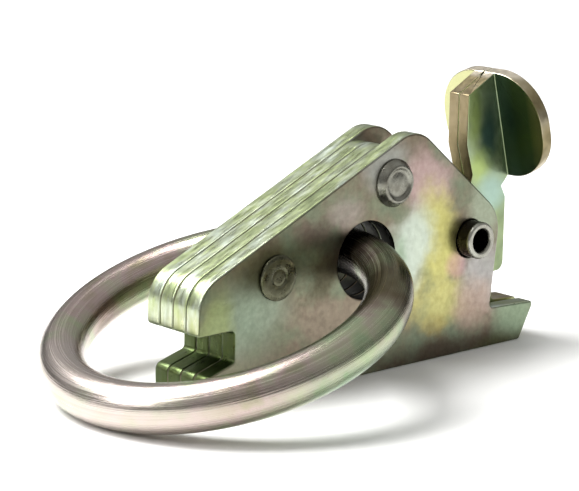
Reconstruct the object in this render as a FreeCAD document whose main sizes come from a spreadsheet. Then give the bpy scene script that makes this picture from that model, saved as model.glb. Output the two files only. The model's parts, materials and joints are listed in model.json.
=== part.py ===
import FreeCAD, Part
import os
import re

import Sketcher

# Laminated spring fitting for a slotted load track, with a welded round ring.
#
# Frame: origin on the plane the plates stand on, midway through the plate stack,
# under the centre of the hole that carries the ring. +X runs from the nose towards
# the spring latch, +Y across the plates (the near side is -Y), +Z up.
#
# Four stamped plates are riveted face to face. The two inner plates stop short, and
# the two latch plates pivot on the rear rivet in the space behind them.

SIZES = [
    # alias, value (mm or degrees), what it sets
    ("plate_thickness", 3.175, "each of the four stack plates"),
    ("base_reach", 34.2, "tongue tip, forward of the ring hole"),
    ("tongue_tip_height", 5.2, "tongue at its tip"),
    ("tongue_tip_radius", 1.3, "top corner of the tongue"),
    ("notch_floor_height", 6.9, "tongue at the notch wall"),
    ("notch_gap", 5.05, "height of the track notch at its wall"),
    ("notch_wall_reach", 28.35, "notch wall, forward of the ring hole"),
    ("notch_corner_radius", 0.7, "inner corners of the notches"),
    ("nose_reach", 35.75, "nose front, forward of the ring hole"),
    ("nose_corner_height", 19.15, "where the nose line meets the top slope"),
    ("nose_radius", 6.0, "top corner of the nose"),
    ("nose_lip_radius", 0.6, "bottom corner of the nose"),
    ("crown_setback", 11.04, "crown corner, behind the ring hole"),
    ("crown_height", 40.45, "crown corner before rounding"),
    ("crown_radius", 6.5, "rounded crown"),
    ("heel_setback", 31.9, "rear corner, behind the ring hole"),
    ("heel_height", 23.3, "rear corner before rounding"),
    ("heel_radius", 7.0, "rounded rear corner"),
    ("rear_wall_setback", 29.9, "outer plates' rear edge where it meets the toe"),
    ("toe_reach", 41.4, "toe tip, behind the ring hole"),
    ("toe_tip_height", 6.5, "toe tip above the base"),
    ("toe_tip_radius", 0.7, "top corner of the toe"),
    ("toe_base_setback", 37.75, "rear end of the base"),
    ("ring_hole_height", 19.4, "ring hole above the base"),
    ("ring_wire", 7.94, "ring wire diameter"),
    ("ring_inside", 45.0, "ring inside diameter"),
    ("ring_play", 1.707, "hole radius over the room the bent wire needs in the stack"),
    ("ring_rest_shift", 0.9, "wire centre forward of the hole centre"),
    ("ring_rest_rise", 1.2, "wire centre above the hole centre"),
    ("ring_rest_yaw", 2.5, "ring turned towards the near side, degrees"),
    ("front_rivet_reach", 19.7, "front rivet, forward of the ring hole"),
    ("front_rivet_height", 19.3, "front rivet above the base"),
    ("front_head_diameter", 7.5, "front rivet near head"),
    ("front_head_height", 0.7, "front rivet near head"),
    ("top_rivet_setback", 5.7, "top rivet, behind the ring hole"),
    ("top_rivet_height", 31.6, "top rivet above the base"),
    ("top_head_diameter", 8.0, "top rivet near head at the plate"),
    ("top_head_face", 6.4, "top rivet near head at its face"),
    ("top_head_height", 1.5, "top rivet near head"),
    ("top_dimple_diameter", 5.0, "dished face of the top rivet"),
    ("top_dimple_depth", 0.45, "dished face of the top rivet"),
    ("rivet_shank", 5.5, "front and top rivet shanks"),
    ("rivet_clearance", 0.03, "radial gap round a rivet shank"),
    ("far_head_diameter", 9.0, "factory heads on the far side"),
    ("far_head_height", 1.6, "factory heads on the far side"),
    ("far_head_chamfer", 0.7, "edge of the factory heads"),
    ("pivot_setback", 24.3, "latch pivot, behind the ring hole"),
    ("pivot_height", 19.9, "latch pivot above the base"),
    ("pivot_shank", 6.35, "tubular pivot rivet"),
    ("pivot_bore", 4.0, "bore of the tubular end"),
    ("pivot_bore_depth", 7.0, "bore of the tubular end"),
    ("pivot_stand_out", 2.8, "tubular end beyond the near plate"),
    ("pivot_clearance", 0.08, "radial running gap round the pivot"),
    ("inner_edge_margin", 5.9, "inner plate round the top rivet"),
    ("latch_thickness", 2.3, "each latch plate"),
    ("washer_gap", 0.05, "side gap at each washer face"),
    ("washer_diameter", 9.5, "washers beside the latch"),
    ("stop_gap", 0.3, "latch lug to the inner plates at rest"),
    ("lug_bottom_rise", 0.6, "stop lug underside above the pivot"),
    ("lug_top_rise", 5.1, "stop lug top above the pivot"),
    ("pivot_web", 2.4, "latch metal in front of the pivot hole"),
    ("latch_base_front", 25.5, "front of the latch base"),
    ("latch_shoulder_front", 27.5, "latch front just above the lug"),
    ("neck_front", 28.8, "stem front edge at the neck"),
    ("neck_height", 29.8, "neck above the base"),
    ("stem_front", 27.2, "front edge of the stem"),
    ("stem_low_height", 35.0, "bottom of the stem's straight front edge"),
    ("stem_top_height", 43.7, "top of the stem's front edge"),
    ("wing_top_setback", 33.3, "wing bend line, top end"),
    ("wing_top_height", 47.0, "wing bend line, top end"),
    ("wing_low_setback", 37.8, "wing bend line, bottom end"),
    ("wing_low_height", 28.7, "wing bend line, bottom end"),
    ("neck_back", 36.2, "stem back edge at the neck"),
    ("neck_back_height", 27.0, "stem back edge at the neck"),
    ("latch_back", 37.3, "back edge of the latch"),
    ("latch_back_top", 25.0, "top of the back edge"),
    ("latch_back_radius", 1.6, "lower rear corner of the latch back"),
    ("track_slot_length", 63.1, "slot of the load track that both notches grip"),
    ("slot_clearance", 0.1, "notch walls inside the slot ends"),
    ("rear_notch_high", 11.9, "rear notch roof"),
    ("latch_lift", 0.1, "latch underside above the base plane"),
    ("wing_width", 9.15, "wing, out from its bend"),
    ("wing_sweep", 1.6, "wing swept back, degrees"),
    ("wing_top_radius", 9.0, "upper outer corner of the wing"),
    ("wing_low_radius", 8.0, "lower outer corner of the wing"),
    ("spring_side_gap", 0.475, "latch spring to the outer plates"),
    ("spring_wire", 0.8, "latch spring wire"),
    ("spring_turns", 7.0, "latch spring"),
    ("spring_drop", 7.9, "spring axis below the pivot"),
    ("spring_seat_depth", 4.6, "pocket in the inner plates"),
    ("spring_wall_setback", 21.5, "latch wall the spring pushes on"),
    ("spring_room", 0.3, "gap round the spring and at its ends"),
]


def write_sheet(document, rows):
    """Put the driving dimensions in a spreadsheet and return their values by alias."""
    sheet = document.addObject("Spreadsheet::Sheet", "sizes")
    values = {}
    for row, (alias, value, note) in enumerate(rows, start=1):
        sheet.set(f"A{row}", alias)
        sheet.set(f"B{row}", str(value))
        sheet.set(f"C{row}", note)
        sheet.setAlias(f"B{row}", alias)
        values[alias] = value
    document.recompute()
    return values


doc = FreeCAD.newDocument("TrackFitting")
size = write_sheet(doc, SIZES)
parts = []


def bound(formula):
    """Point every size named in a formula at its spreadsheet cell."""
    def cell(word):
        return f"sizes.{word[0]}" if word[0] in size else word[0]
    return re.sub(r"[a-z_]+", cell, formula)


def new_body(label, place=("0", "0", "0")):
    """An empty body whose place in the assembly is three formulas."""
    body = doc.addObject("PartDesign::Body", label)
    body.Label = label
    for axis, formula in zip("xyz", place):
        body.setExpression(f"Placement.Base.{axis}", bound(formula))
    parts.append(body)
    return body


def plane_sketch(body, name, role):
    """A sketch on one of the body's own origin planes."""
    sketch = body.newObject("Sketcher::SketchObject", name)
    plane = next(item for item in body.Origin.OriginFeatures if item.Role == role)
    sketch.AttachmentSupport = [(plane, "")]
    sketch.MapMode = "FlatFace"
    return sketch


def bind(sketch, constraint, formula):
    """Add a dimension and let a formula drive it."""
    index = sketch.addConstraint(constraint)
    sketch.setExpression(f"Constraints[{index}]", bound(formula))


def draw_polygon(sketch, corners):
    """A closed polygon through corners given as pairs of formulas."""
    rough = [FreeCAD.Vector(value(across), value(up)) for across, up in corners]
    first = sketch.GeometryCount
    count = len(rough)
    for index in range(count):
        sketch.addGeometry(Part.LineSegment(rough[index], rough[(index + 1) % count]))
    for index, (across, up) in enumerate(corners):
        line = first + index
        following = first + (index + 1) % count
        sketch.addConstraint(Sketcher.Constraint("Coincident", line, 2, following, 1))
        bind(sketch, Sketcher.Constraint("DistanceX", -1, 1, line, 1, rough[index].x), across)
        bind(sketch, Sketcher.Constraint("DistanceY", -1, 1, line, 1, rough[index].y), up)
    return rough


def draw_circle(sketch, across, up, radius):
    """A circle whose centre and radius are formulas."""
    centre = FreeCAD.Vector(value(across), value(up))
    circle = Part.Circle(centre, FreeCAD.Vector(0, 0, 1), value(radius))
    index = sketch.addGeometry(circle)
    bind(sketch, Sketcher.Constraint("DistanceX", -1, 1, index, 3, centre.x), across)
    bind(sketch, Sketcher.Constraint("DistanceY", -1, 1, index, 3, centre.y), up)
    bind(sketch, Sketcher.Constraint("Radius", index, circle.Radius), radius)


def value(formula):
    """The present number that a formula gives."""
    result = doc.getObject("sizes").evalExpression(bound(formula))
    return float(getattr(result, "Value", result))


def pad(body, sketch, thickness, backwards=False):
    """Pad a sketch and keep the pad as the body's tip."""
    feature = body.newObject("PartDesign::Pad", sketch.Name + "_pad")
    feature.Profile = sketch
    feature.setExpression("Length", bound(thickness))
    feature.Reversed = backwards
    doc.recompute()
    return feature


def round_corner(body, sketch, corner, radius):
    """Round the pad's edge that stands on one corner of its sketch."""
    base = body.Tip
    stand = sketch.Placement
    foot = stand.multVec(FreeCAD.Vector(corner.x, corner.y, 0))
    along = stand.Rotation.multVec(FreeCAD.Vector(0, 0, 1))
    names = []
    for index, edge in enumerate(base.Shape.Edges, start=1):
        if len(edge.Vertexes) < 2:
            continue
        ends = [vertex.Point - foot for vertex in edge.Vertexes]
        if all(end.cross(along).Length < 1e-4 for end in ends):
            names.append(f"Edge{index}")
    fillet = body.newObject("PartDesign::Fillet", "round")
    fillet.Base = (base, names)
    fillet.setExpression("Radius", bound(radius))
    doc.recompute()


# ------------------------------------------------------------------------ stack plates

STACK_HALF = "2 * plate_thickness"
RING_MEAN = "((ring_inside + ring_wire) / 2)"
RING_BOW = f"({RING_MEAN} - sqrt({RING_MEAN} * {RING_MEAN} - ({STACK_HALF}) * ({STACK_HALF})))"
RING_HOLE = ("0", "ring_hole_height", f"ring_wire / 2 + {RING_BOW} + ring_play")
FRONT_HOLE = ("-front_rivet_reach", "front_rivet_height", "rivet_shank / 2 + rivet_clearance")
TOP_HOLE = ("top_rivet_setback", "top_rivet_height", "rivet_shank / 2 + rivet_clearance")
PIVOT_HOLE = ("pivot_setback", "pivot_height", "pivot_shank / 2 + rivet_clearance")

TONGUE_AND_NOSE = [
    ("-base_reach", "0"),
    ("-base_reach", "tongue_tip_height"),
    ("-notch_wall_reach", "notch_floor_height"),
    ("-notch_wall_reach", "notch_floor_height + notch_gap"),
    ("-nose_reach", "notch_floor_height + notch_gap"),
    ("-nose_reach", "nose_corner_height"),
]
NOSE_RADII = {
    1: "tongue_tip_radius",
    2: "notch_corner_radius",
    3: "notch_corner_radius",
    4: "nose_lip_radius",
    5: "nose_radius",
}
INNER_EDGE = "top_rivet_setback + inner_edge_margin"
SLOPE_RISE = "(crown_height - nose_corner_height) / (crown_setback + nose_reach)"
SPRING_AXIS = "pivot_height - spring_drop"
SPRING_OUTER = "(plate_thickness - spring_side_gap)"
POCKET_HALF = f"({SPRING_OUTER} + spring_room)"


def stack_plate(label, lift, outline, radii, holes):
    """One stamped plate; lift is its far face, counted in plate thicknesses."""
    body = new_body(label, ("0", f"{lift} * plate_thickness", "0"))
    sketch = plane_sketch(body, label + "_outline", "XZ_Plane")
    corners = draw_polygon(sketch, outline)
    for hole in holes:
        draw_circle(sketch, *hole)
    doc.recompute()
    pad(body, sketch, "plate_thickness")
    for index, radius in radii.items():
        round_corner(body, sketch, corners[index], radius)
    return body


def outer_plate(label, lift):
    """A full-length plate with a toe at its rear, which also carries the latch pivot."""
    outline = TONGUE_AND_NOSE + [
        ("crown_setback", "crown_height"),
        ("heel_setback", "heel_height"),
        ("rear_wall_setback", "notch_floor_height"),
        ("toe_reach", "toe_tip_height"),
        ("toe_base_setback", "0"),
    ]
    radii = dict(NOSE_RADII)
    radii.update({6: "crown_radius", 7: "heel_radius", 8: "notch_corner_radius", 9: "toe_tip_radius"})
    stack_plate(label, lift, outline, radii, [RING_HOLE, FRONT_HOLE, TOP_HOLE, PIVOT_HOLE])


def inner_plate(label, lift):
    """A short plate, cut off behind the top rivet, with a pocket for the spring."""
    pocket_end = f"{INNER_EDGE} - spring_seat_depth"
    outline = TONGUE_AND_NOSE + [
        (INNER_EDGE, f"nose_corner_height + ({INNER_EDGE} + nose_reach) * {SLOPE_RISE}"),
        (INNER_EDGE, f"{SPRING_AXIS} + {POCKET_HALF}"),
        (pocket_end, f"{SPRING_AXIS} + {POCKET_HALF}"),
        (pocket_end, f"{SPRING_AXIS} - {POCKET_HALF}"),
        (INNER_EDGE, f"{SPRING_AXIS} - {POCKET_HALF}"),
        (INNER_EDGE, "0"),
    ]
    radii = dict(NOSE_RADII)
    radii[6] = "inner_edge_margin"
    stack_plate(label, lift, outline, radii, [RING_HOLE, FRONT_HOLE, TOP_HOLE])


outer_plate("outer_plate_near", -1)
inner_plate("inner_plate_near", 0)
inner_plate("inner_plate_far", 1)
outer_plate("outer_plate_far", 2)


# ------------------------------------------------------------------- rivets and washers

def turned_body(label, place, profile):
    """A piece turned about Y from a half profile of (radius, distance along Y)."""
    body = new_body(label, place)
    sketch = plane_sketch(body, label + "_profile", "XY_Plane")
    draw_polygon(sketch, profile)
    doc.recompute()
    turn = body.newObject("PartDesign::Revolution", label + "_turn")
    turn.Profile = sketch
    turn.ReferenceAxis = (sketch, ["V_Axis"])
    turn.Angle = 360
    doc.recompute()
    return body


def far_head(shank):
    """Shank out through the far plate and its chamfered factory head."""
    return [
        (shank, STACK_HALF),
        ("far_head_diameter / 2", STACK_HALF),
        ("far_head_diameter / 2", f"{STACK_HALF} + far_head_height - far_head_chamfer"),
        ("far_head_diameter / 2 - far_head_chamfer", f"{STACK_HALF} + far_head_height"),
        ("0", f"{STACK_HALF} + far_head_height"),
    ]


def front_rivet():
    """Set rivet with a low, flattened near head."""
    face = f"-({STACK_HALF}) - front_head_height"
    turned_body("front_rivet", ("-front_rivet_reach", "0", "front_rivet_height"), [
        ("0", face),
        ("front_head_diameter / 2 - front_head_height", face),
        ("front_head_diameter / 2", f"{face} + front_head_height / 2"),
        ("front_head_diameter / 2", f"-({STACK_HALF})"),
        ("rivet_shank / 2", f"-({STACK_HALF})"),
    ] + far_head("rivet_shank / 2"))


def top_rivet():
    """Set rivet with a tapered near head, dished in its face."""
    face = f"-({STACK_HALF}) - top_head_height"
    turned_body("top_rivet", ("top_rivet_setback", "0", "top_rivet_height"), [
        ("0", f"{face} + top_dimple_depth"),
        ("top_dimple_diameter / 4", f"{face} + top_dimple_depth"),
        ("top_dimple_diameter / 2", face),
        ("top_head_face / 2", face),
        ("top_head_diameter / 2", f"-({STACK_HALF})"),
        ("rivet_shank / 2", f"-({STACK_HALF})"),
    ] + far_head("rivet_shank / 2"))


def pivot_rivet():
    """Semi-tubular rivet that carries the latch, left standing out on the near side."""
    mouth = f"-({STACK_HALF}) - pivot_stand_out"
    turned_body("pivot_rivet", ("pivot_setback", "0", "pivot_height"), [
        ("0", f"{mouth} + pivot_bore_depth"),
        ("pivot_bore / 2", f"{mouth} + pivot_bore_depth"),
        ("pivot_bore / 2", mouth),
        ("pivot_shank / 2", mouth),
    ] + far_head("pivot_shank / 2"))


def washer(label, side):
    """Flat washer that fills the cavity beside the latch plates."""
    inside = "pivot_shank / 2 + pivot_clearance"
    outer_face = f"{side} * (plate_thickness - washer_gap)"
    inner_face = f"{side} * (latch_thickness + washer_gap)"
    turned_body(label, ("pivot_setback", "0", "pivot_height"), [
        (inside, inner_face),
        ("washer_diameter / 2", inner_face),
        ("washer_diameter / 2", outer_face),
        (inside, outer_face),
    ])


front_rivet()
top_rivet()
pivot_rivet()
washer("pivot_washer_near", -1)
washer("pivot_washer_far", 1)


# ------------------------------------------------------------------------- latch plates

LATCH_HOLE = ("pivot_setback", "pivot_height", "pivot_shank / 2 + pivot_clearance")
NOTCH_WALL = "track_slot_length - slot_clearance - notch_wall_reach"
LUG_TIP = f"{INNER_EDGE} + stop_gap"
WEB_FRONT = "pivot_setback - pivot_shank / 2 - pivot_web"
WING_TILT = "atan2(wing_low_setback - wing_top_setback; wing_top_height - wing_low_height)"
WING_LENGTH = ("sqrt((wing_low_setback - wing_top_setback)^2"
               " + (wing_top_height - wing_low_height)^2)")
WING_ROOT = "latch_thickness * (1 - sin(wing_sweep)) / cos(wing_sweep)"

LATCH_OUTLINE = [
    ("latch_base_front", "latch_lift"),
    ("toe_base_setback", "latch_lift"),
    ("toe_reach", "toe_tip_height"),
    (NOTCH_WALL, "notch_floor_height"),
    (NOTCH_WALL, "rear_notch_high"),
    ("latch_back", "rear_notch_high"),
    ("latch_back", "latch_back_top"),
    ("neck_back", "neck_back_height"),
    ("wing_low_setback", "wing_low_height"),
    ("wing_top_setback", "wing_top_height"),
    ("stem_front", "stem_top_height"),
    ("stem_front", "stem_low_height"),
    ("neck_front", "neck_height"),
    ("latch_shoulder_front", "pivot_height + lug_top_rise"),
    (LUG_TIP, "pivot_height + lug_top_rise"),
    (LUG_TIP, "pivot_height + lug_bottom_rise"),
    (WEB_FRONT, "pivot_height + lug_bottom_rise"),
    (WEB_FRONT, "pivot_height - pivot_shank / 2"),
    ("spring_wall_setback", f"{SPRING_AXIS} + {POCKET_HALF}"),
    ("spring_wall_setback", f"{SPRING_AXIS} - {POCKET_HALF}"),
]
LATCH_RADII = {
    2: "toe_tip_radius",
    3: "notch_corner_radius",
    4: "notch_corner_radius",
    5: "latch_back_radius",
}


def latch_plate(label, side):
    """One latch plate, its wing bent outwards; side is -1 near and 1 far."""
    body = new_body(label)
    sketch = plane_sketch(body, label + "_outline", "XZ_Plane")
    corners = draw_polygon(sketch, LATCH_OUTLINE)
    draw_circle(sketch, *LATCH_HOLE)
    doc.recompute()
    pad(body, sketch, "latch_thickness", backwards=side > 0)
    for index, radius in LATCH_RADII.items():
        round_corner(body, sketch, corners[index], radius)

    wing = plane_sketch(body, label + "_wing", "YZ_Plane")
    wing.setExpression("AttachmentOffset", bound(
        f"placement(vector({side} * latch_thickness; wing_low_height; wing_low_setback);"
        f" rotation(vector(1; 0; 0); -({WING_TILT}))"
        f" * rotation(vector(0; 1; 0); {-side} * wing_sweep))"))
    corners = draw_polygon(wing, [
        (f"{-side} * {WING_ROOT}", "0"),
        (f"{side} * wing_width", "0"),
        (f"{side} * wing_width", WING_LENGTH),
        (f"{-side} * {WING_ROOT}", WING_LENGTH),
    ])
    doc.recompute()
    pad(body, wing, "latch_thickness")
    round_corner(body, wing, corners[1], "wing_low_radius")
    round_corner(body, wing, corners[2], "wing_top_radius")


latch_plate("latch_plate_near", -1)
latch_plate("latch_plate_far", 1)


# -------------------------------------------------------------------------- latch spring

def latch_spring():
    """Compression coil along X, from the inner plates' pocket to the latch wall."""
    start = f"{INNER_EDGE} - spring_seat_depth + spring_room + spring_wire / 2"
    travel = f"spring_wall_setback - spring_room - spring_wire / 2 - ({start})"
    body = new_body("latch_spring", (start, "0", SPRING_AXIS))
    sketch = plane_sketch(body, "spring_section", "XY_Plane")
    draw_circle(sketch, "0", f"{SPRING_OUTER} - spring_wire / 2", "spring_wire / 2")
    doc.recompute()
    coil = body.newObject("PartDesign::AdditiveHelix", "spring_coil")
    coil.Profile = sketch
    coil.ReferenceAxis = (sketch, ["H_Axis"])
    coil.Mode = "height-turns-angle"
    coil.setExpression("Height", bound(travel))
    coil.setExpression("Turns", bound("spring_turns"))
    doc.recompute()


latch_spring()


# ---------------------------------------------------------------------------------- ring

def ring():
    """Welded round ring, hung in the stack's hole with its front on the base plane."""
    hang_height = "(ring_hole_height + ring_rest_rise)"
    droop = f"asin(({hang_height} - ring_wire / 2) / (2 * {RING_MEAN}))"
    body = doc.addObject("Part::Torus", "ring")
    body.Label = "ring"
    body.setExpression("Radius1", bound(RING_MEAN))
    body.setExpression("Radius2", bound("ring_wire / 2"))
    reach = f"{RING_MEAN} * cos({droop})"
    body.setExpression("Placement", bound(
        f"placement(vector(-ring_rest_shift - {reach} * cos(ring_rest_yaw);"
        f" -{reach} * sin(ring_rest_yaw); {hang_height} - {RING_MEAN} * sin({droop}));"
        f" rotation(vector(0; 0; 1); ring_rest_yaw) * rotation(vector(0; 1; 0); -{droop}))"))
    parts.append(body)


ring()
doc.recompute()


# ----------------------------------------------------------------------- check and write

for item in doc.Objects:
    if "Invalid" in item.State or "Error" in item.State:
        raise RuntimeError(f"{item.Label} failed to recompute")

for item in parts:
    if item.Shape.isNull() or not item.Shape.isValid() or len(item.Shape.Solids) != 1:
        raise RuntimeError(f"{item.Label} is not one valid solid")

os.makedirs("parts", exist_ok=True)
for item in parts:
    item.Shape.exportStep(f"parts/{item.Label}.step")
    box = item.Shape.optimalBoundingBox()
    print(f"{item.Label}: volume {item.Shape.Volume:.1f} mm3,"
          f" X {box.XMin:.2f} to {box.XMax:.2f},"
          f" Y {box.YMin:.2f} to {box.YMax:.2f}, Z {box.ZMin:.2f} to {box.ZMax:.2f}")
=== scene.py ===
import json
import math

import bpy
from mathutils import Matrix, Vector, noise


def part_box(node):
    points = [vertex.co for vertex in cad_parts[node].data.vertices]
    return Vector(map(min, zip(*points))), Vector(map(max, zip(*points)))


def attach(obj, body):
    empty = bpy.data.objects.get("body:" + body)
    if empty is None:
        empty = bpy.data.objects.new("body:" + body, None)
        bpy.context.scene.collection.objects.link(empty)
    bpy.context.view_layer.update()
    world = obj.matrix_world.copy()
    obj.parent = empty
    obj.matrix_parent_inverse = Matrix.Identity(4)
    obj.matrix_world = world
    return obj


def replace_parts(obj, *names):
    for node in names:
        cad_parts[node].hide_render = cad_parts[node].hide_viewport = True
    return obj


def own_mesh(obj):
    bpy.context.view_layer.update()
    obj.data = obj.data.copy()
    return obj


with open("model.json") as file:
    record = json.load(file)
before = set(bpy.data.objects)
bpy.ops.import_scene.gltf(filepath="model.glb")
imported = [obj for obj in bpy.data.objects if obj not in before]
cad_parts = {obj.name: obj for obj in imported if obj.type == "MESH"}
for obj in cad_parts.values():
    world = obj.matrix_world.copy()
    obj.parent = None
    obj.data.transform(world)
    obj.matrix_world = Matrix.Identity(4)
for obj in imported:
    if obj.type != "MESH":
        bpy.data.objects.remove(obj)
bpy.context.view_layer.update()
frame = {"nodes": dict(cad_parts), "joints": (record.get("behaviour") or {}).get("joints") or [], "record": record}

NODES = frame["nodes"]
JOINTS = {joint["name"]: joint for joint in frame["joints"]}

# Sizes in metres. Those that the frame gives are measured from it.
NEAR_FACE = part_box("outer_plate_near")[0].y
FAR_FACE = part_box("outer_plate_far")[1].y
RING_HOLE_HEIGHT = JOINTS["ring_swing"]["pos_m"][2]

# Width of the rolled edges.
PLATE_ROLL, LATCH_ROLL, WASHER_ROLL = 0.00038, 0.00018, 0.00012

# Distances from the middle plane: where a latch plate bends, where a wing's painted shade and highlight start, and
# its tip.
LATCH_BEND, WING_START, WING_TIP = 0.0024, 0.0023, 0.0115

# Rivets: shank radius of the two solid ones, gap under a head, and depth of the visible shank.
SOLID_SHANK, HEAD_GAP, SHANK_DEPTH = 0.00274, 0.00001, 0.0006


# ---------------------------------------------------------------- meshes

def add_piece(name, vertices, faces, body, material):
    """A mesh piece that rides on a CAD body."""
    mesh = bpy.data.meshes.new(name)
    mesh.from_pydata([tuple(v) for v in vertices], [], faces)
    mesh.validate()
    mesh.polygons.foreach_set("use_smooth", [True] * len(mesh.polygons))
    mesh.update()
    piece = bpy.data.objects.new(name, mesh)
    bpy.context.scene.collection.objects.link(piece)
    mesh.materials.append(material)
    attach(piece, body)
    return piece


def lathe(profile, segments, wobble=None):
    """Closed solid turned about Y from (radius, along) points that start and end on the axis."""
    vertices = [Vector((0, profile[0][1], 0))]
    rings = profile[1:-1]
    for radius, along in rings:
        for step in range(segments):
            angle = 2 * math.pi * step / segments
            reach = radius + (wobble(radius, along, angle) if wobble else 0)
            vertices.append(Vector((reach * math.cos(angle), along, reach * math.sin(angle))))
    vertices.append(Vector((0, profile[-1][1], 0)))
    last = len(vertices) - 1
    faces = []
    for step in range(segments):
        after = (step + 1) % segments
        faces.append((0, 1 + step, 1 + after))
        for row in range(len(rings) - 1):
            low = 1 + row * segments
            high = low + segments
            faces.append((low + step, high + step, high + after, low + after))
        low = 1 + (len(rings) - 1) * segments
        faces.append((last, low + after, low + step))
    return vertices, faces


def rounded(points, radius, steps=4):
    """The same open outline with its inner corners rounded by up to a radius."""
    result = [points[0]]
    for before, corner, after in zip(points, points[1:], points[2:]):
        before, corner, after = Vector(before), Vector(corner), Vector(after)
        reach = min(radius, (before - corner).length * 0.45, (after - corner).length * 0.45)
        start = corner + (before - corner).normalized() * reach
        end = corner + (after - corner).normalized() * reach
        for step in range(steps + 1):
            share = step / steps
            result.append(tuple(start.lerp(corner, share).lerp(corner.lerp(end, share), share)))
    result.append(points[-1])
    return result


# ---------------------------------------------------------------- material nodes

class Shader:
    """Short names for building one node material."""

    def __init__(self, name):
        self.material = bpy.data.materials.new(name)
        self.material.use_nodes = True
        self.tree = self.material.node_tree
        self.tree.nodes.clear()
        self.surface = self.tree.nodes.new("ShaderNodeBsdfPrincipled")
        output = self.tree.nodes.new("ShaderNodeOutputMaterial")
        self.link(self.surface.outputs[0], output.inputs["Surface"])
        self.place = self.tree.nodes.new("ShaderNodeTexCoord").outputs["Object"]

    def link(self, source, target):
        self.tree.links.new(source, target)

    def feed(self, value, socket):
        if isinstance(value, bpy.types.NodeSocket):
            self.link(value, socket)
        else:
            socket.default_value = value

    def math(self, operation, first, second):
        node = self.tree.nodes.new("ShaderNodeMath")
        node.operation = operation
        self.feed(first, node.inputs[0])
        self.feed(second, node.inputs[1])
        return node.outputs[0]

    def stretch(self, scale, offset=(0, 0, 0)):
        node = self.tree.nodes.new("ShaderNodeMapping")
        node.inputs["Location"].default_value = offset
        node.inputs["Scale"].default_value = scale
        self.link(self.place, node.inputs["Vector"])
        return node.outputs[0]

    def noise(self, vector, scale, detail=3.0, rough=0.55):
        node = self.tree.nodes.new("ShaderNodeTexNoise")
        node.inputs["Scale"].default_value = scale
        node.inputs["Detail"].default_value = detail
        node.inputs["Roughness"].default_value = rough
        self.link(vector, node.inputs["Vector"])
        return node.outputs["Fac"]

    def range(self, value, low, high, to_low=0.0, to_high=1.0):
        node = self.tree.nodes.new("ShaderNodeMapRange")
        node.interpolation_type = "SMOOTHSTEP"
        self.feed(value, node.inputs["Value"])
        node.inputs["From Min"].default_value = low
        node.inputs["From Max"].default_value = high
        node.inputs["To Min"].default_value = to_low
        node.inputs["To Max"].default_value = to_high
        return node.outputs[0]

    def mix(self, factor, first, second, blend="MIX"):
        node = self.tree.nodes.new("ShaderNodeMix")
        node.data_type = "RGBA"
        node.blend_type = blend
        self.feed(factor, node.inputs["Factor"])
        self.feed(first, node.inputs["A"])
        self.feed(second, node.inputs["B"])
        return node.outputs["Result"]

    def axes(self):
        node = self.tree.nodes.new("ShaderNodeSeparateXYZ")
        self.link(self.place, node.inputs[0])
        return node.outputs

    def blob(self, centre, reach, warp=None, solid=0.25):
        """1 at a place on the object and 0 at reach along each axis, fading from the solid share of it."""
        scale = tuple(1 / r for r in reach)
        offset = tuple(-c / r for c, r in zip(centre, reach))
        length = self.tree.nodes.new("ShaderNodeVectorMath")
        length.operation = "LENGTH"
        self.link(self.stretch(scale, offset), length.inputs[0])
        distance = length.outputs["Value"]
        if warp is not None:
            distance = self.math("ADD", distance, warp)
        return self.range(distance, 1.0, solid)

    def tinted(self, colour, clouds, warp, across=None):
        """The colour with clouds of other colours over it; in this script the clouds paint reflections and shade.

        With across, a middle and a reach along Y, each cloud's own place and reach are along X and Z.
        """
        for centre, reach, tint, strength in clouds:
            if across:
                centre, reach = (centre[0], across[0], centre[1]), (reach[0], across[1], reach[1])
            mask = self.blob(centre, reach, warp)
            colour = self.mix(self.math("MULTIPLY", mask, strength), colour, rgb(*tint))
        return colour

    def ramp(self, value, stops):
        node = self.tree.nodes.new("ShaderNodeValToRGB")
        self.link(value, node.inputs[0])
        elements = node.color_ramp.elements
        while len(elements) < len(stops):
            elements.new(0.5)
        for element, (position, colour) in zip(elements, stops):
            element.position = position
            element.color = colour
        return node.outputs[0]

    def bump(self, height, distance, strength=1.0, under=None):
        node = self.tree.nodes.new("ShaderNodeBump")
        node.inputs["Distance"].default_value = distance
        node.inputs["Strength"].default_value = strength
        self.link(height, node.inputs["Height"])
        if under is not None:
            self.link(under, node.inputs["Normal"])
        return node.outputs[0]

    def finish(self, colour, roughness, normal=None, metallic=1.0):
        self.link(colour, self.surface.inputs["Base Color"])
        self.feed(roughness, self.surface.inputs["Roughness"])
        self.surface.inputs["Metallic"].default_value = metallic
        if normal is not None:
            self.link(normal, self.surface.inputs["Normal"])
        return self.material


def rgb(red, green, blue):
    """A colour given as it looks on a screen, in the linear values that shaders take."""
    def linear(value):
        return value / 12.92 if value <= 0.04045 else ((value + 0.055) / 1.055) ** 2.4
    return (linear(red), linear(green), linear(blue), 1.0)


# ---------------------------------------------------------------- finishes

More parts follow.
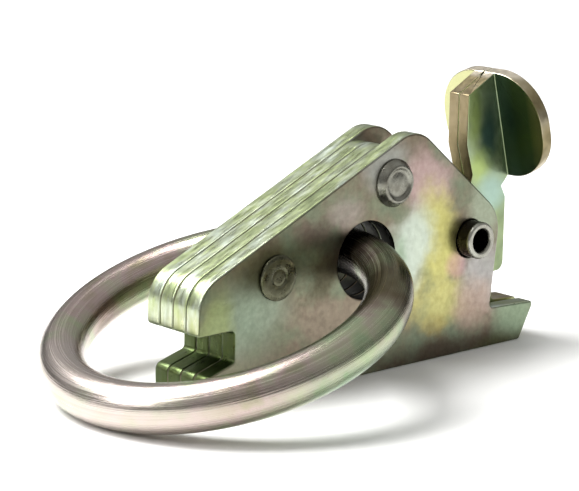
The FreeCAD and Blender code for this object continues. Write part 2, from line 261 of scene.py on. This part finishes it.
def plated_face():
    """Yellow zinc plating on the stamped plates: satin, with soft random clouds of interference colour and, laid
    over them, painted reflections and shade.
    """
    shader = Shader("plated_face")
    clouds = shader.noise(shader.stretch((1, 1, 1)), 120, 4.0)
    warp = shader.range(clouds, 0.3, 0.7, -0.25, 0.25)
    colour = shader.ramp(clouds, [(0.30, rgb(0.46, 0.44, 0.36)), (0.45, rgb(0.53, 0.48, 0.42)),
                                  (0.58, rgb(0.52, 0.53, 0.45)), (0.72, rgb(0.50, 0.55, 0.47))])
    # Painted reflections and shade laid over the plating colour.
    colour = shader.tinted(colour, FACE_PAINTED_LIGHT, warp, across=(NEAR_FACE, 0.05))
    speckle = shader.noise(shader.stretch((1, 1, 1), (0.3, 0.1, 0.2)), 1100, 3.0)
    colour = shader.mix(0.22, colour, shader.ramp(speckle, [(0.35, rgb(0.36, 0.34, 0.28)),
                                                            (0.65, rgb(0.80, 0.82, 0.76))]), "SOFT_LIGHT")
    grain = shader.noise(shader.stretch((1, 1, 1), (0.1, 0.4, 0.7)), 900, 3.0, 0.6)
    roughness = shader.range(grain, 0.3, 0.7, 0.32, 0.44)
    dents = shader.bump(shader.noise(shader.stretch((1, 1, 1)), 140, 2.0), 0.0003, 0.5)
    pits = shader.bump(grain, 0.00003, 0.5, dents)
    return shader.finish(colour, roughness, pits)


# Painted reflections and shade on the plate faces, in the plating's tints: place (X, Z), reach (X, Z), screen
# colour, strength.
# Later ones lie over earlier ones.
FACE_PAINTED_LIGHT = [
    ((-0.026, 0.014), (0.012, 0.010), (0.57, 0.63, 0.56), 0.80),
    ((-0.032, 0.014), (0.005, 0.007), (0.62, 0.66, 0.45), 0.70),
    ((-0.020, 0.021), (0.011, 0.006), (0.34, 0.34, 0.26), 0.85),
    ((-0.012, 0.0255), (0.007, 0.004), (0.50, 0.43, 0.40), 0.70),
    ((-0.010, 0.018), (0.006, 0.006), (0.36, 0.35, 0.28), 0.85),
    ((-0.005, 0.028), (0.006, 0.004), (0.68, 0.64, 0.62), 0.55),
    ((-0.008, 0.010), (0.012, 0.006), (0.60, 0.55, 0.49), 0.80),
    ((0.004, 0.034), (0.007, 0.006), (0.65, 0.66, 0.64), 0.80),
    ((0.014, 0.031), (0.009, 0.007), (0.76, 0.66, 0.65), 0.90),
    ((0.016, 0.019), (0.007, 0.014), (0.80, 0.78, 0.50), 0.95),
    ((0.017, 0.009), (0.010, 0.007), (0.79, 0.77, 0.52), 0.90),
    ((0.010, 0.020), (0.007, 0.009), (0.80, 0.84, 0.79), 0.95),
    ((0.016, 0.006), (0.005, 0.003), (0.68, 0.61, 0.38), 0.50),
    ((0.028, 0.026), (0.006, 0.009), (0.66, 0.70, 0.62), 0.80),
    ((0.028, 0.013), (0.007, 0.008), (0.72, 0.71, 0.71), 0.80),
    ((0.025, 0.007), (0.007, 0.007), (0.72, 0.63, 0.58), 0.80),
    ((0.021, 0.0155), (0.003, 0.003), (0.84, 0.62, 0.68), 0.40),
    ((0.0075, 0.018), (0.0025, 0.006), (0.52, 0.63, 0.50), 0.60),
    # This cloud and the last one darken the bottom of the faces: painted shade near the floor.
    ((0.018, 0.001), (0.024, 0.005), (0.35, 0.31, 0.27), 0.90),
    ((0.037, 0.004), (0.008, 0.008), (0.60, 0.67, 0.57), 0.90),
    ((0.034, -0.001), (0.014, 0.004), (0.38, 0.38, 0.28), 0.90),
]


def plated_edge():
    """The cut edges of the plates: more yellow-green than the faces and painted brighter as a highlight, streaked
    along the cut, with painted shade in the notch and the ring hole.
    """
    shader = Shader("plated_edge")
    streaks = shader.noise(shader.stretch((60, 900, 60), (0.0, 0.2, 0.0)), 1.0, 4.0, 0.6)
    patches = shader.noise(shader.stretch((1, 2.5, 1), (0.4, 0.0, 0.1)), 150, 4.0, 0.6)
    # Brighter than the faces: a painted highlight.
    colour = shader.ramp(patches, [(0.30, rgb(0.56, 0.60, 0.47)), (0.43, rgb(0.66, 0.70, 0.54)),
                                   (0.55, rgb(0.70, 0.73, 0.64)), (0.70, rgb(0.78, 0.82, 0.78))])
    colour = shader.mix(0.45, colour, shader.ramp(streaks, [(0.35, rgb(0.36, 0.38, 0.30)),
                                                            (0.65, rgb(0.86, 0.88, 0.84))]), "SOFT_LIGHT")
    # Painted shade in the notch at the front: its walls and floor darkened to a deep green.
    front = shader.range(shader.axes()["X"], -0.022, -0.027)
    low = shader.range(shader.axes()["Z"], 0.0135, 0.0115)
    notch_shade = shader.math("MULTIPLY", front, low)
    colour = shader.mix(shader.math("MULTIPLY", notch_shade, 0.9), colour, rgb(0.28, 0.34, 0.17))
    # Painted shade down the ring hole: its walls darkened almost to black.
    hole_shade = shader.blob((0, 0, RING_HOLE_HEIGHT), (0.0095, 0.1, 0.0095), solid=0.85)
    colour = shader.mix(hole_shade, colour, rgb(0.10, 0.10, 0.07))
    grain = shader.noise(shader.stretch((300, 1500, 300)), 1.0, 3.0, 0.6)
    roughness = shader.range(grain, 0.3, 0.7, 0.26, 0.42)
    hammered = shader.bump(shader.noise(shader.stretch((1, 1, 1)), 420, 3.0), 0.00012, 0.7)
    return shader.finish(colour, roughness, shader.bump(grain, 0.00004, 0.5, hammered))


def plated_latch():
    """The same plating on the latch, with painted light: painted shade and reflection on the near wing,
    lighter towards its tip, a painted pale highlight on the far one, and painted reflections from yellow-green to
    pale blue down the stem."""
    shader = Shader("plated_latch")
    clouds = shader.noise(shader.stretch((1, 1, 1), (0.2, 0.0, 0.1)), 130, 3.0)
    warp = shader.range(clouds, 0.3, 0.7, -0.2, 0.2)
    colour = shader.ramp(clouds, [(0.30, rgb(0.50, 0.56, 0.44)), (0.50, rgb(0.60, 0.66, 0.50)),
                                  (0.70, rgb(0.66, 0.72, 0.60))])
    # Painted reflections down the stem.
    colour = shader.tinted(colour, STEM_PAINTED_REFLECTIONS, warp, across=(0, 0.1))
    # Painted shade and reflection on the near wing, lighter towards its tip, and a painted pale highlight on the
    # far wing.
    near_wing = shader.range(shader.axes()["Y"], -WING_START, -0.0025)
    far_wing_highlight = shader.range(shader.axes()["Y"], WING_START, 0.0025)
    across = shader.range(shader.axes()["Y"], -WING_START, -WING_TIP)
    near_wing_shade = shader.ramp(across, [(0.0, rgb(0.21, 0.27, 0.23)), (0.35, rgb(0.19, 0.24, 0.15)),
                                  (0.75, rgb(0.22, 0.27, 0.17)), (1.0, rgb(0.40, 0.40, 0.26))])
    colour = shader.mix(near_wing, colour, near_wing_shade)
    colour = shader.mix(far_wing_highlight, colour, rgb(0.70, 0.70, 0.52))
    grain = shader.noise(shader.stretch((1, 1, 1), (0.1, 0.4, 0.7)), 900, 3.0, 0.6)
    roughness = shader.range(grain, 0.3, 0.7, 0.30, 0.42)
    dents = shader.bump(shader.noise(shader.stretch((1, 1, 1)), 200, 2.0), 0.00018, 0.6)
    return shader.finish(colour, roughness, shader.bump(grain, 0.00002, 0.5, dents))


# Painted reflections down the latch stem, the dark teal one standing for the wing mirrored in it: place (X, Z),
# reach (X, Z), screen colour, strength.
STEM_PAINTED_REFLECTIONS = [
    ((0.029, 0.040), (0.003, 0.010), (0.66, 0.74, 0.46), 0.9),
    ((0.0325, 0.037), (0.0035, 0.010), (0.30, 0.42, 0.40), 0.95),
    ((0.030, 0.031), (0.005, 0.005), (0.72, 0.80, 0.50), 0.9),
    ((0.0335, 0.0265), (0.006, 0.005), (0.68, 0.79, 0.74), 0.9),
    ((0.038, 0.004), (0.008, 0.006), (0.76, 0.72, 0.50), 0.9),
]


def latch_edge():
    """Cut edges of the latch: gold where the plating is thick, with a painted near-white highlight along the upper
    edge and a painted darker brown reflection on the front edge.
    """
    shader = Shader("latch_edge")
    patches = shader.noise(shader.stretch((1, 1, 1), (0.4, 0.6, 0.1)), 160, 3.0, 0.6)
    colour = shader.ramp(patches, [(0.30, rgb(0.46, 0.42, 0.30)), (0.48, rgb(0.60, 0.55, 0.42)),
                                   (0.70, rgb(0.74, 0.70, 0.60))])
    # Painted darker brown reflection on the front edge.
    front = shader.range(shader.axes()["X"], 0.0300, 0.0280)
    colour = shader.mix(shader.math("MULTIPLY", front, 0.8), colour, rgb(0.46, 0.41, 0.31))
    # Painted near-white highlight along the upper edge.
    upper_highlight = shader.range(shader.axes()["Z"], 0.0460, 0.0468)
    colour = shader.mix(upper_highlight, colour, rgb(0.90, 0.86, 0.78))
    grain = shader.noise(shader.stretch((1, 1, 1), (0.3, 0.2, 0.7)), 1000, 3.0, 0.6)
    roughness = shader.range(grain, 0.3, 0.7, 0.28, 0.42)
    return shader.finish(colour, roughness, shader.bump(grain, 0.00004, 0.6))


def plated_wire():
    """Yellow zinc plating on the drawn wire of the ring: glossier, with fine drawing lines along the wire."""
    shader = Shader("plated_wire")
    uv = shader.tree.nodes.new("ShaderNodeUVMap")
    lines_place = shader.tree.nodes.new("ShaderNodeMapping")
    lines_place.inputs["Scale"].default_value = (3.0, 60.0, 1.0)
    shader.link(uv.outputs[0], lines_place.inputs["Vector"])
    lines = shader.noise(lines_place.outputs[0], 1.6, 4.0, 0.65)
    clouds = shader.noise(shader.stretch((1, 1, 1), (0.5, 0.2, 0.3)), 110, 3.0)
    colour = shader.ramp(clouds, [(0.30, rgb(0.58, 0.56, 0.44)), (0.45, rgb(0.70, 0.63, 0.62)),
                                  (0.60, rgb(0.66, 0.69, 0.58)), (0.75, rgb(0.52, 0.64, 0.50))])
    # Painted reflections and shade laid over the ring's colour.
    colour = shader.tinted(colour, RING_PAINTED_LIGHT, shader.range(clouds, 0.3, 0.7, -0.2, 0.2))
    colour = shader.mix(0.3, colour, shader.ramp(lines, [(0.35, rgb(0.42, 0.38, 0.26)),
                                                         (0.62, rgb(0.90, 0.90, 0.86))]), "SOFT_LIGHT")
    roughness = shader.range(lines, 0.3, 0.7, 0.17, 0.30)
    return shader.finish(colour, roughness, shader.bump(lines, 0.00006, 0.6))


# Painted reflections and shade on the ring, darkest where the plate stack shades the wire at the hole: centre,
# reach along each axis, screen colour, strength.
RING_PAINTED_LIGHT = [
    ((-0.050, 0.0, 0.006), (0.016, 0.030, 0.012), (0.78, 0.74, 0.72), 0.8),
    ((-0.012, -0.030, 0.006), (0.030, 0.014, 0.011), (0.50, 0.68, 0.50), 0.9),
    ((-0.008, -0.022, 0.018), (0.020, 0.012, 0.010), (0.34, 0.31, 0.19), 0.95),
    ((0.001, -0.004, 0.020), (0.014, 0.018, 0.014), (0.14, 0.13, 0.09), 1.0),
    ((0.003, -0.014, 0.014), (0.004, 0.008, 0.006), (0.80, 0.66, 0.62), 0.5),
]


def rivet_steel(name, low, high, wall=None):
    """Plated rivet metal between two tones, pitted by the press; wall is the darker tone behind a bright lip,
    painted shade where it runs down the bore.
    """
    shader = Shader(name)
    clouds = shader.noise(shader.stretch((1, 1, 1), (0.7, 0.2, 0.5)), 420, 4.0)
    colour = shader.ramp(clouds, [(0.32, low), (0.68, high)])
    # Darker tone behind the lip, over the outer wall of the tube and down its bore; in the bore it is painted
    # shade.
    if wall:
        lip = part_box("pivot_rivet")[0].y
        behind_lip = shader.range(shader.axes()["Y"], lip + 0.00035, lip + 0.0007)
        near_end = shader.range(shader.axes()["Y"], FAR_FACE, FAR_FACE - 0.0005)
        colour = shader.mix(shader.math("MULTIPLY", behind_lip, near_end), colour, wall)
    grain = shader.noise(shader.stretch((1, 1, 1), (0.1, 0.4, 0.7)), 1100, 3.0, 0.6)
    roughness = shader.range(grain, 0.3, 0.7, 0.24, 0.38)
    return shader.finish(colour, roughness, shader.bump(grain, 0.00004, 0.6))


def washer_steel():
    """Plain zinc on the washers hidden beside the latch."""
    shader = Shader("washer_steel")
    grain = shader.noise(shader.stretch((1, 1, 1), (0.2, 0.9, 0.4)), 500, 3.0)
    colour = shader.ramp(grain, [(0.30, rgb(0.56, 0.57, 0.55)), (0.70, rgb(0.72, 0.73, 0.72))])
    return shader.finish(colour, shader.range(grain, 0.3, 0.7, 0.36, 0.5), shader.bump(grain, 0.00002, 0.5))


def spring_wire():
    """Oiled spring wire: dark, with bright drawing lines."""
    shader = Shader("spring_wire")
    grain = shader.noise(shader.stretch((1, 4, 4), (0.2, 0.9, 0.4)), 600, 3.0)
    colour = shader.ramp(grain, [(0.30, rgb(0.22, 0.22, 0.23)), (0.70, rgb(0.42, 0.42, 0.44))])
    return shader.finish(colour, shader.range(grain, 0.3, 0.7, 0.25, 0.4), shader.bump(grain, 0.00002, 0.5))


def pale_floor():
    """Plain pale floor, as evenly lit far from the object as beside it."""
    shader = Shader("pale_floor")
    speck = shader.noise(shader.stretch((1, 1, 1)), 40, 2.0)
    colour = shader.ramp(speck, [(0.3, rgb(0.965, 0.965, 0.96)), (0.7, rgb(0.975, 0.975, 0.97))])
    near_object = shader.blob((0, 0, 0), (0.80, 0.80, 1.0))
    shader.surface.inputs["Emission Color"].default_value = (0.55, 0.55, 0.55, 1.0)
    shader.link(shader.math("SUBTRACT", 1.0, near_object), shader.surface.inputs["Emission Strength"])
    return shader.finish(colour, 0.8, metallic=0.0)


# ---------------------------------------------------------------- CAD nodes that stay

def roll_edges(node, width, face, edge=None, bend=1.0):
    """Keeps a stamped CAD plate, with the rolled edges that stamping and tumbling leave.

    The plate lies across Y out to a distance of bend from the middle plane, and across X beyond it.
    """
    piece = NODES[node]
    mesh = piece.data
    mesh.materials.clear()
    mesh.materials.append(face)
    mesh.materials.append(edge or face)
    for polygon in mesh.polygons:
        facing = polygon.normal.x if abs(polygon.center.y) > bend else polygon.normal.y
        polygon.material_index = 0 if abs(facing) > 0.6 else 1
        polygon.use_smooth = True
    weld = piece.modifiers.new("weld", "WELD")
    weld.merge_threshold = 0.000002
    flat = piece.modifiers.new("flat_faces", "DECIMATE")
    flat.decimate_type = "DISSOLVE"
    flat.angle_limit = math.radians(0.5)
    flat.delimit = {"MATERIAL"}
    bevel = piece.modifiers.new("rolled_edges", "BEVEL")
    bevel.width = width
    bevel.segments = 4
    bevel.limit_method = "ANGLE"
    bevel.angle_limit = math.radians(50)
    bevel.use_clamp_overlap = False
    bevel.loop_slide = False
    piece.modifiers.new("even_shading", "WEIGHTED_NORMAL")


# ---------------------------------------------------------------- pieces in place of CAD nodes

RING_SEGMENTS, WIRE_SEGMENTS = 288, 56


def ring_frame():
    """The ring's centre, its axis, and its mean and wire radii, all measured from the CAD ring."""
    points = [vertex.co for vertex in NODES["ring"].data.vertices]
    mount = next(m for m in frame["record"]["mounts"] if m["name"] == "ring_eye")
    centre, axis = Vector(mount["pos_m"]), Vector(mount["axis"]).normalized()
    reaches = [((p - centre) - axis * (p - centre).dot(axis)).length for p in points]
    outer, inner = max(reaches), min(reaches)
    return centre, axis, (outer + inner) / 2, (outer - inner) / 2


def make_ring(material):
    """The welded ring: drawn wire that is never quite round, with an upset weld."""
    centre, axis, mean, wire = ring_frame()
    weld_side = Vector((1, 0, 0))
    along = (weld_side - axis * weld_side.dot(axis)).normalized()
    across = axis.cross(along)
    vertices, faces = [], []
    for turn in range(RING_SEGMENTS):
        angle = 2 * math.pi * turn / RING_SEGMENTS
        outward = along * math.cos(angle) + across * math.sin(angle)
        from_weld = min(angle, 2 * math.pi - angle) * mean
        upset = 0.00008 * math.exp(-(from_weld / 0.0012) ** 2)
        for step in range(WIRE_SEGMENTS):
            around = 2 * math.pi * step / WIRE_SEGMENTS
            ridge = noise.noise(Vector((math.cos(around) * 3, math.sin(around) * 3, angle * 0.8)))
            reach = wire - 0.00009 + 0.00004 * ridge + upset
            sideways, upward = reach * math.cos(around), reach * math.sin(around)
            vertices.append(centre + outward * (mean + sideways) + axis * upward)
    for turn in range(RING_SEGMENTS):
        here, there = turn * WIRE_SEGMENTS, (turn + 1) % RING_SEGMENTS * WIRE_SEGMENTS
        for step in range(WIRE_SEGMENTS):
            after = (step + 1) % WIRE_SEGMENTS
            faces.append((here + step, there + step, there + after, here + after))
    ring = add_piece("ring_wire", vertices, faces, "ring", material)
    layer = ring.data.uv_layers.new(name="wire")
    for polygon in ring.data.polygons:
        turn, step = divmod(polygon.index, WIRE_SEGMENTS)
        for loop, (add_turn, add_step) in zip(polygon.loop_indices, ((0, 0), (1, 0), (1, 1), (0, 1))):
            layer.data[loop].uv = ((turn + add_turn) / RING_SEGMENTS, (step + add_step) / WIRE_SEGMENTS)
    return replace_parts(ring, "ring")


RIVET_SEGMENTS = 72


def stand_rivet(name, node, profile, material, wobble=None):
    """A turned rivet in place of its CAD node, with its axis along Y through the middle of that node."""
    low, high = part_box(node)
    vertices, faces = lathe(profile, RIVET_SEGMENTS, wobble)
    middle = Vector(((low.x + high.x) / 2, 0, (low.z + high.z) / 2))
    piece = add_piece(name, [middle + v for v in vertices], faces, "plate_stack", material)
    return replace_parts(piece, node)


def neck(shank):
    """The two outline points where the shank leaves a near head and enters the near plate."""
    return [(shank, NEAR_FACE - HEAD_GAP), (shank, NEAR_FACE + SHANK_DEPTH)]


def factory_head(shank, head_radius, end):
    """Outline of the domed head on the far side, from the shank to the axis."""
    under, shoulder = FAR_FACE + HEAD_GAP, FAR_FACE + (end - FAR_FACE) * 0.55
    return rounded([(shank, FAR_FACE - SHANK_DEPTH), (shank, under), (head_radius, under),
                    (head_radius, shoulder), (head_radius * 0.62, end), (0.0006, end), (0, end)], 0.0007)


def make_front_rivet(material):
    """Low set head, pressed into a ring that is deeper on one side."""
    low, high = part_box("front_rivet")
    head, near = 0.00372, low.y
    pressed = [(0, near + 0.00030), (0.0010, near + 0.00026), (0.0014, near + 0.00034),
               (0.0017, near + 0.00010), (0.0030, near + 0.00004)]
    rim = [(head, near + 0.00022), (head, NEAR_FACE - HEAD_GAP)]
    outline = rounded(pressed + rim + neck(SOLID_SHANK), 0.00025)
    far = factory_head(SOLID_SHANK, (high.x - low.x) / 2, high.y)

    def crease(radius, along, angle):
        inside = along < NEAR_FACE - 0.00005
        return 0.00012 * math.sin(angle + 0.6) if inside and radius < 0.0025 else 0
    return stand_rivet("front_rivet_set", "front_rivet", outline + far, material, crease)


def make_top_rivet(material):
    """Stepped cone head: a raised middle and a rim, with a groove between them."""
    low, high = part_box("top_rivet")
    foot, face, near = 0.0040, 0.0032, low.y
    middle = [(0, near + 0.00022), (0.0005, near + 0.00023),
              (0.0010, near + 0.00027), (0.0015, near + 0.00034)]
    groove = [(0.0019, near + 0.00044), (0.0022, near + 0.00045), (0.0024, near + 0.00036)]
    rim = [(0.0026, near + 0.00014), (0.0028, near)]
    cone = [(face, near + 0.00010), (face + 0.00035, near + 0.0006),
            (foot, NEAR_FACE - 0.0003), (foot, NEAR_FACE - HEAD_GAP)]
    outline = middle + groove + rim + rounded([rim[-1]] + cone + neck(SOLID_SHANK), 0.00022)[1:]
    far = factory_head(SOLID_SHANK, (high.x - low.x) / 2, high.y)

    def hammered(radius, along, angle):
        on_cone = along < NEAR_FACE - 0.0003 and radius > 0.0025
        return 0.00003 * math.sin(5 * angle + radius * 4000) if on_cone else 0
    return stand_rivet("top_rivet_set", "top_rivet", outline + far, material, hammered)


def make_pivot_rivet(material):
    """Semi-tubular rivet that carries the latch: a plain tube end with a burnished lip."""
    low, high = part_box("pivot_rivet")
    shank, bore, near, depth = 0.00317, 0.0020, low.y, 0.007
    outline = [(0, near + depth + 0.0006), (0.0006, near + depth + 0.0005)]
    outline += rounded([(0.0012, near + depth + 0.0003), (bore, near + depth - 0.0004), (bore, near + 0.0004),
                        (bore + 0.0002, near), (shank - 0.00025, near), (shank, near + 0.0003),
                        (shank, NEAR_FACE), (shank, NEAR_FACE + SHANK_DEPTH)], 0.00018)
    far = factory_head(shank, (high.x - low.x) / 2, high.y)
    return stand_rivet("pivot_rivet_tube", "pivot_rivet", outline + far, material)


def make_spring(material):
    """The latch spring between the inner plates and the latch, with closed end turns."""
    low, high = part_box("latch_spring")
    wire, turns, steps, sides = 0.0004, 7, 40, 12
    radius = (high.y - low.y) / 2 - wire
    start, length = low.x + wire, high.x - low.x - 2 * wire
    middle_z = (low.z + high.z) / 2

    def point(share):
        angle = 2 * math.pi * turns * share
        eased = share - 0.035 * math.sin(4 * math.pi * share)
        return Vector((start + length * eased, radius * math.cos(angle), middle_z + radius * math.sin(angle)))
    count = turns * steps
    vertices, faces = [], []
    for index in range(count + 1):
        share = index / count
        centre = point(share)
        tangent = (point(min(1, share + 0.001)) - point(max(0, share - 0.001))).normalized()
        side = tangent.cross(Vector((1, 0, 0))).normalized()
        up = side.cross(tangent)
        for step in range(sides):
            around = 2 * math.pi * step / sides
            vertices.append(centre + (side * math.cos(around) + up * math.sin(around)) * wire)
    for index in range(count):
        for step in range(sides):
            here, after = index * sides + step, index * sides + (step + 1) % sides
            faces.append((here, after, after + sides, here + sides))
    faces.append(tuple(reversed(range(sides))))
    faces.append(tuple(count * sides + step for step in range(sides)))
    spring = add_piece("latch_spring_coil", vertices, faces, "plate_stack", material)
    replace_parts(spring, "latch_spring")
    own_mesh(spring)
    return spring


# ---------------------------------------------------------------- studio

def make_floor(material):
    """Wide pale floor that fills the camera's view."""
    reach = 2.0
    mesh = bpy.data.meshes.new("floor")
    mesh.from_pydata([(-reach, -reach, 0), (reach, -reach, 0), (reach, reach, 0), (-reach, reach, 0)], [],
                     [(0, 1, 2, 3)])
    floor = bpy.data.objects.new("floor", mesh)
    floor.location.z = -0.00002
    bpy.context.scene.collection.objects.link(floor)
    mesh.materials.append(material)


def area_light(name, place, target, size, power, colour=(1, 1, 1)):
    light = bpy.data.lights.new(name, "AREA")
    light.shape = "RECTANGLE"
    light.size, light.size_y = size
    light.energy = power
    light.color = colour
    lamp = bpy.data.objects.new(name, light)
    lamp.location = place
    lamp.rotation_euler = (Vector(target) - Vector(place)).to_track_quat("-Z", "Y").to_euler()
    bpy.context.scene.collection.objects.link(lamp)


def make_lights():
    """Light tent: a bright roof behind to the left, a weaker side window, and a dim band round the
    horizon that gives metal its contrast."""
    area_light("roof", (-0.20, 0.22, 0.48), (0, 0, 0.02), (0.36, 0.36), 6.0)
    area_light("left_window", (-0.55, 0.20, 0.35), (0, 0, 0.02), (0.26, 0.26), 1.2)
    world = bpy.data.worlds.new("tent")
    world.use_nodes = True
    bpy.context.scene.world = world
    tree = world.node_tree
    tree.nodes.clear()
    direction = tree.nodes.new("ShaderNodeTexCoord").outputs["Generated"]
    split = tree.nodes.new("ShaderNodeSeparateXYZ")
    band = tree.nodes.new("ShaderNodeValToRGB")
    stops = [(0.0, 0.45), (0.03, 0.10), (0.15, 0.10), (0.30, 0.36), (1.0, 0.60)]
    while len(band.color_ramp.elements) < len(stops):
        band.color_ramp.elements.new(0.5)
    for element, (position, level) in zip(band.color_ramp.elements, stops):
        element.position = position
        element.color = (level, level, level * 0.985, 1)
    seen = tree.nodes.new("ShaderNodeLightPath").outputs["Is Camera Ray"]
    pick = tree.nodes.new("ShaderNodeMix")
    pick.data_type = "RGBA"
    pick.inputs["B"].default_value = (1, 1, 1, 1)
    background = tree.nodes.new("ShaderNodeBackground")
    output = tree.nodes.new("ShaderNodeOutputWorld")
    tree.links.new(direction, split.inputs[0])
    tree.links.new(split.outputs["Z"], band.inputs[0])
    tree.links.new(seen, pick.inputs["Factor"])
    tree.links.new(band.outputs[0], pick.inputs["A"])
    tree.links.new(pick.outputs["Result"], background.inputs["Color"])
    tree.links.new(background.outputs[0], output.inputs["Surface"])


def make_camera():
    """The photograph's viewpoint, solved from the shape of the plates and the ring."""
    azimuth, elevation, roll = (math.radians(angle) for angle in (-42.26, 12.26, 0.915))
    distance = 0.36716
    target = Vector((-0.01142, 0, 0.02232))
    back = Vector((math.sin(azimuth) * math.cos(elevation), -math.cos(azimuth) * math.cos(elevation),
                   math.sin(elevation)))
    level = Vector((0, 0, 1)).cross(back).normalized()
    rise = back.cross(level)
    right = level * math.cos(roll) + rise * math.sin(roll)
    up = rise * math.cos(roll) - level * math.sin(roll)
    data = bpy.data.cameras.new("camera")
    data.lens, data.sensor_width, data.sensor_fit = 141.15, 36, "HORIZONTAL"
    data.clip_start, data.clip_end = 0.01, 20
    camera = bpy.data.objects.new("camera", data)
    turn = Matrix((right, up, back)).transposed().to_4x4()
    camera.matrix_world = Matrix.Translation(target + back * distance) @ turn
    bpy.context.scene.collection.objects.link(camera)
    bpy.context.scene.camera = camera


# ---------------------------------------------------------------- the object

def make_object():
    face, edge, latch, wire = plated_face(), plated_edge(), plated_latch(), plated_wire()
    washer, coil = washer_steel(), spring_wire()
    for node in ("outer_plate_near", "outer_plate_far", "inner_plate_near", "inner_plate_far"):
        roll_edges(node, PLATE_ROLL, face, edge)
    trim = latch_edge()
    for node in ("latch_plate_near", "latch_plate_far"):
        roll_edges(node, LATCH_ROLL, latch, trim, bend=LATCH_BEND)
    for node in ("pivot_washer_near", "pivot_washer_far"):
        roll_edges(node, WASHER_ROLL, washer)
    make_ring(wire)
    make_front_rivet(rivet_steel("front_rivet_olive", rgb(0.34, 0.34, 0.27), rgb(0.46, 0.46, 0.38)))
    make_top_rivet(rivet_steel("top_rivet_grey", rgb(0.44, 0.43, 0.39), rgb(0.60, 0.60, 0.56)))
    make_pivot_rivet(rivet_steel("pivot_rivet_grey", rgb(0.58, 0.57, 0.53), rgb(0.70, 0.70, 0.66),
                                 wall=rgb(0.22, 0.21, 0.19)))
    make_spring(coil)


make_camera()
make_floor(pale_floor())
make_lights()
bpy.context.scene.view_settings.view_transform = "Standard"
make_object()
